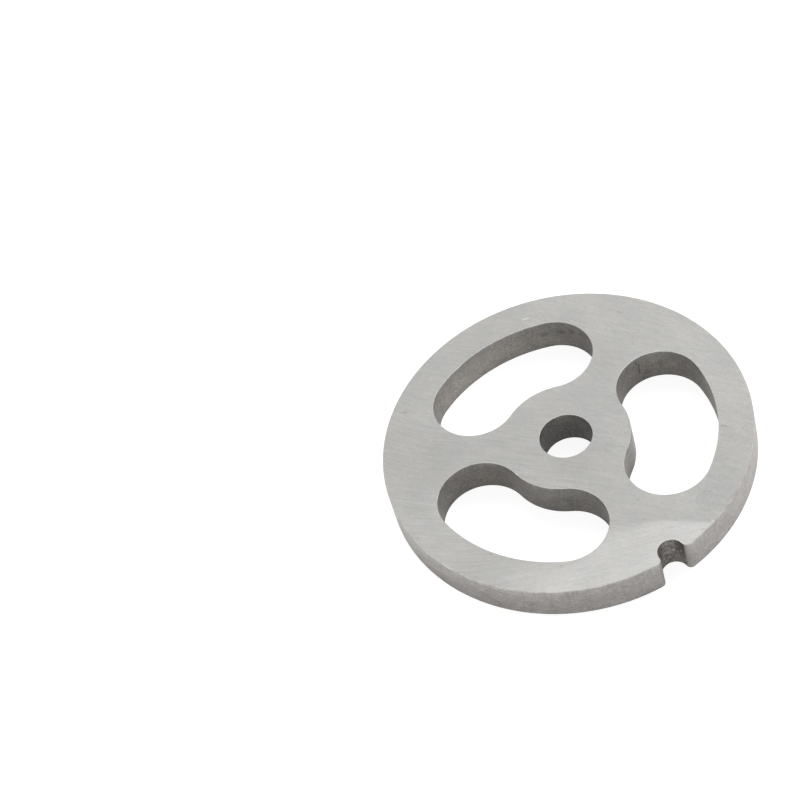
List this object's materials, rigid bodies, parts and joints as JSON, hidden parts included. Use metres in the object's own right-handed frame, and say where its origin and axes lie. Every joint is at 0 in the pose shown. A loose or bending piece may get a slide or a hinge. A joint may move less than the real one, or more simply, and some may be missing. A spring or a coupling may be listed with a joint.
{
  "type": "kidney plate",
  "caption": "Flat ground steel disc for a meat grinder, with kidney-shaped windows round a central bore and a locating notch in its rim.",
  "frame": {"origin": "on the axis of the bore, in the plane of the lower face", "axes": "+Z along the bore's axis, out of the upper face; -Y from the axis through the middle of the notch; +X to the right with the notch towards the viewer"},
  "size_m": [0.0694, 0.0693, 0.0071],
  "materials": {
    "ground_steel": "ground faces, plain machined rim, bore and windows"
  },
  "bodies": {
    "root": {"kidney_plate": "ground_steel"}
  },
  "joints": []
}
